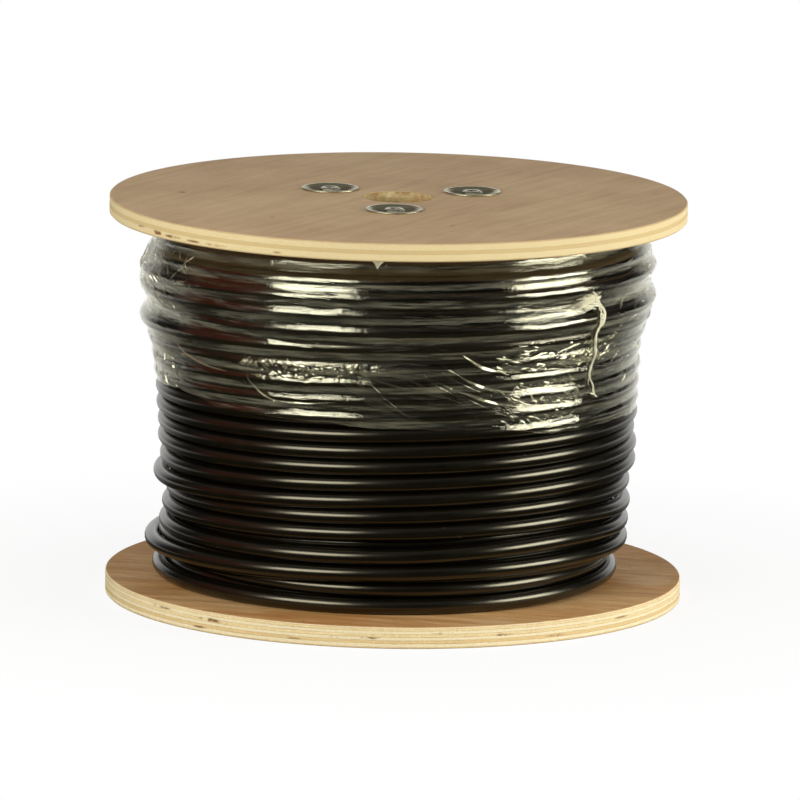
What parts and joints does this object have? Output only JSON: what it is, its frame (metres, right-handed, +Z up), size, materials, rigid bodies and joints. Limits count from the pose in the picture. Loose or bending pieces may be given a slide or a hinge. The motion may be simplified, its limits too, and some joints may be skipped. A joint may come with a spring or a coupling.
{
  "type": "wooden cable drum",
  "caption": "Plywood drum standing on its end: two round flanges clamped on a tube by tie rods, wound with black round cable and half wrapped in clear film.",
  "frame": {"origin": "on the drum's axis, at the underside of the bottom flange", "axes": "+Z up the drum's axis, from the bottom flange to the top one; -Y is the side that the picture shows"},
  "size_m": [0.3999, 0.4, 0.2797],
  "materials": {
    "plywood": "sanded, unfinished plywood",
    "paper_tube": "wound paper tube",
    "cable_sheath": "satin black sheath",
    "stretch_film": "clear stretch film, glossy and creased",
    "zinc_steel": "zinc plated"
  },
  "bodies": {
    "root": {"top_flange": "plywood", "bottom_flange": "plywood", "barrel": "paper_tube", "cable": "cable_sheath", "film_wrap": "stretch_film", "tie_rod_1": "zinc_steel", "tie_rod_2": "zinc_steel", "tie_rod_3": "zinc_steel", "cup_washer_top_1": "zinc_steel", "nut_top_1": "zinc_steel", "cup_washer_top_2": "zinc_steel", "nut_top_2": "zinc_steel", "cup_washer_top_3": "zinc_steel", "nut_top_3": "zinc_steel", "cup_washer_bottom_1": "zinc_steel", "nut_bottom_1": "zinc_steel", "cup_washer_bottom_2": "zinc_steel", "nut_bottom_2": "zinc_steel", "cup_washer_bottom_3": "zinc_steel", "nut_bottom_3": "zinc_steel"}
  },
  "joints": []
}
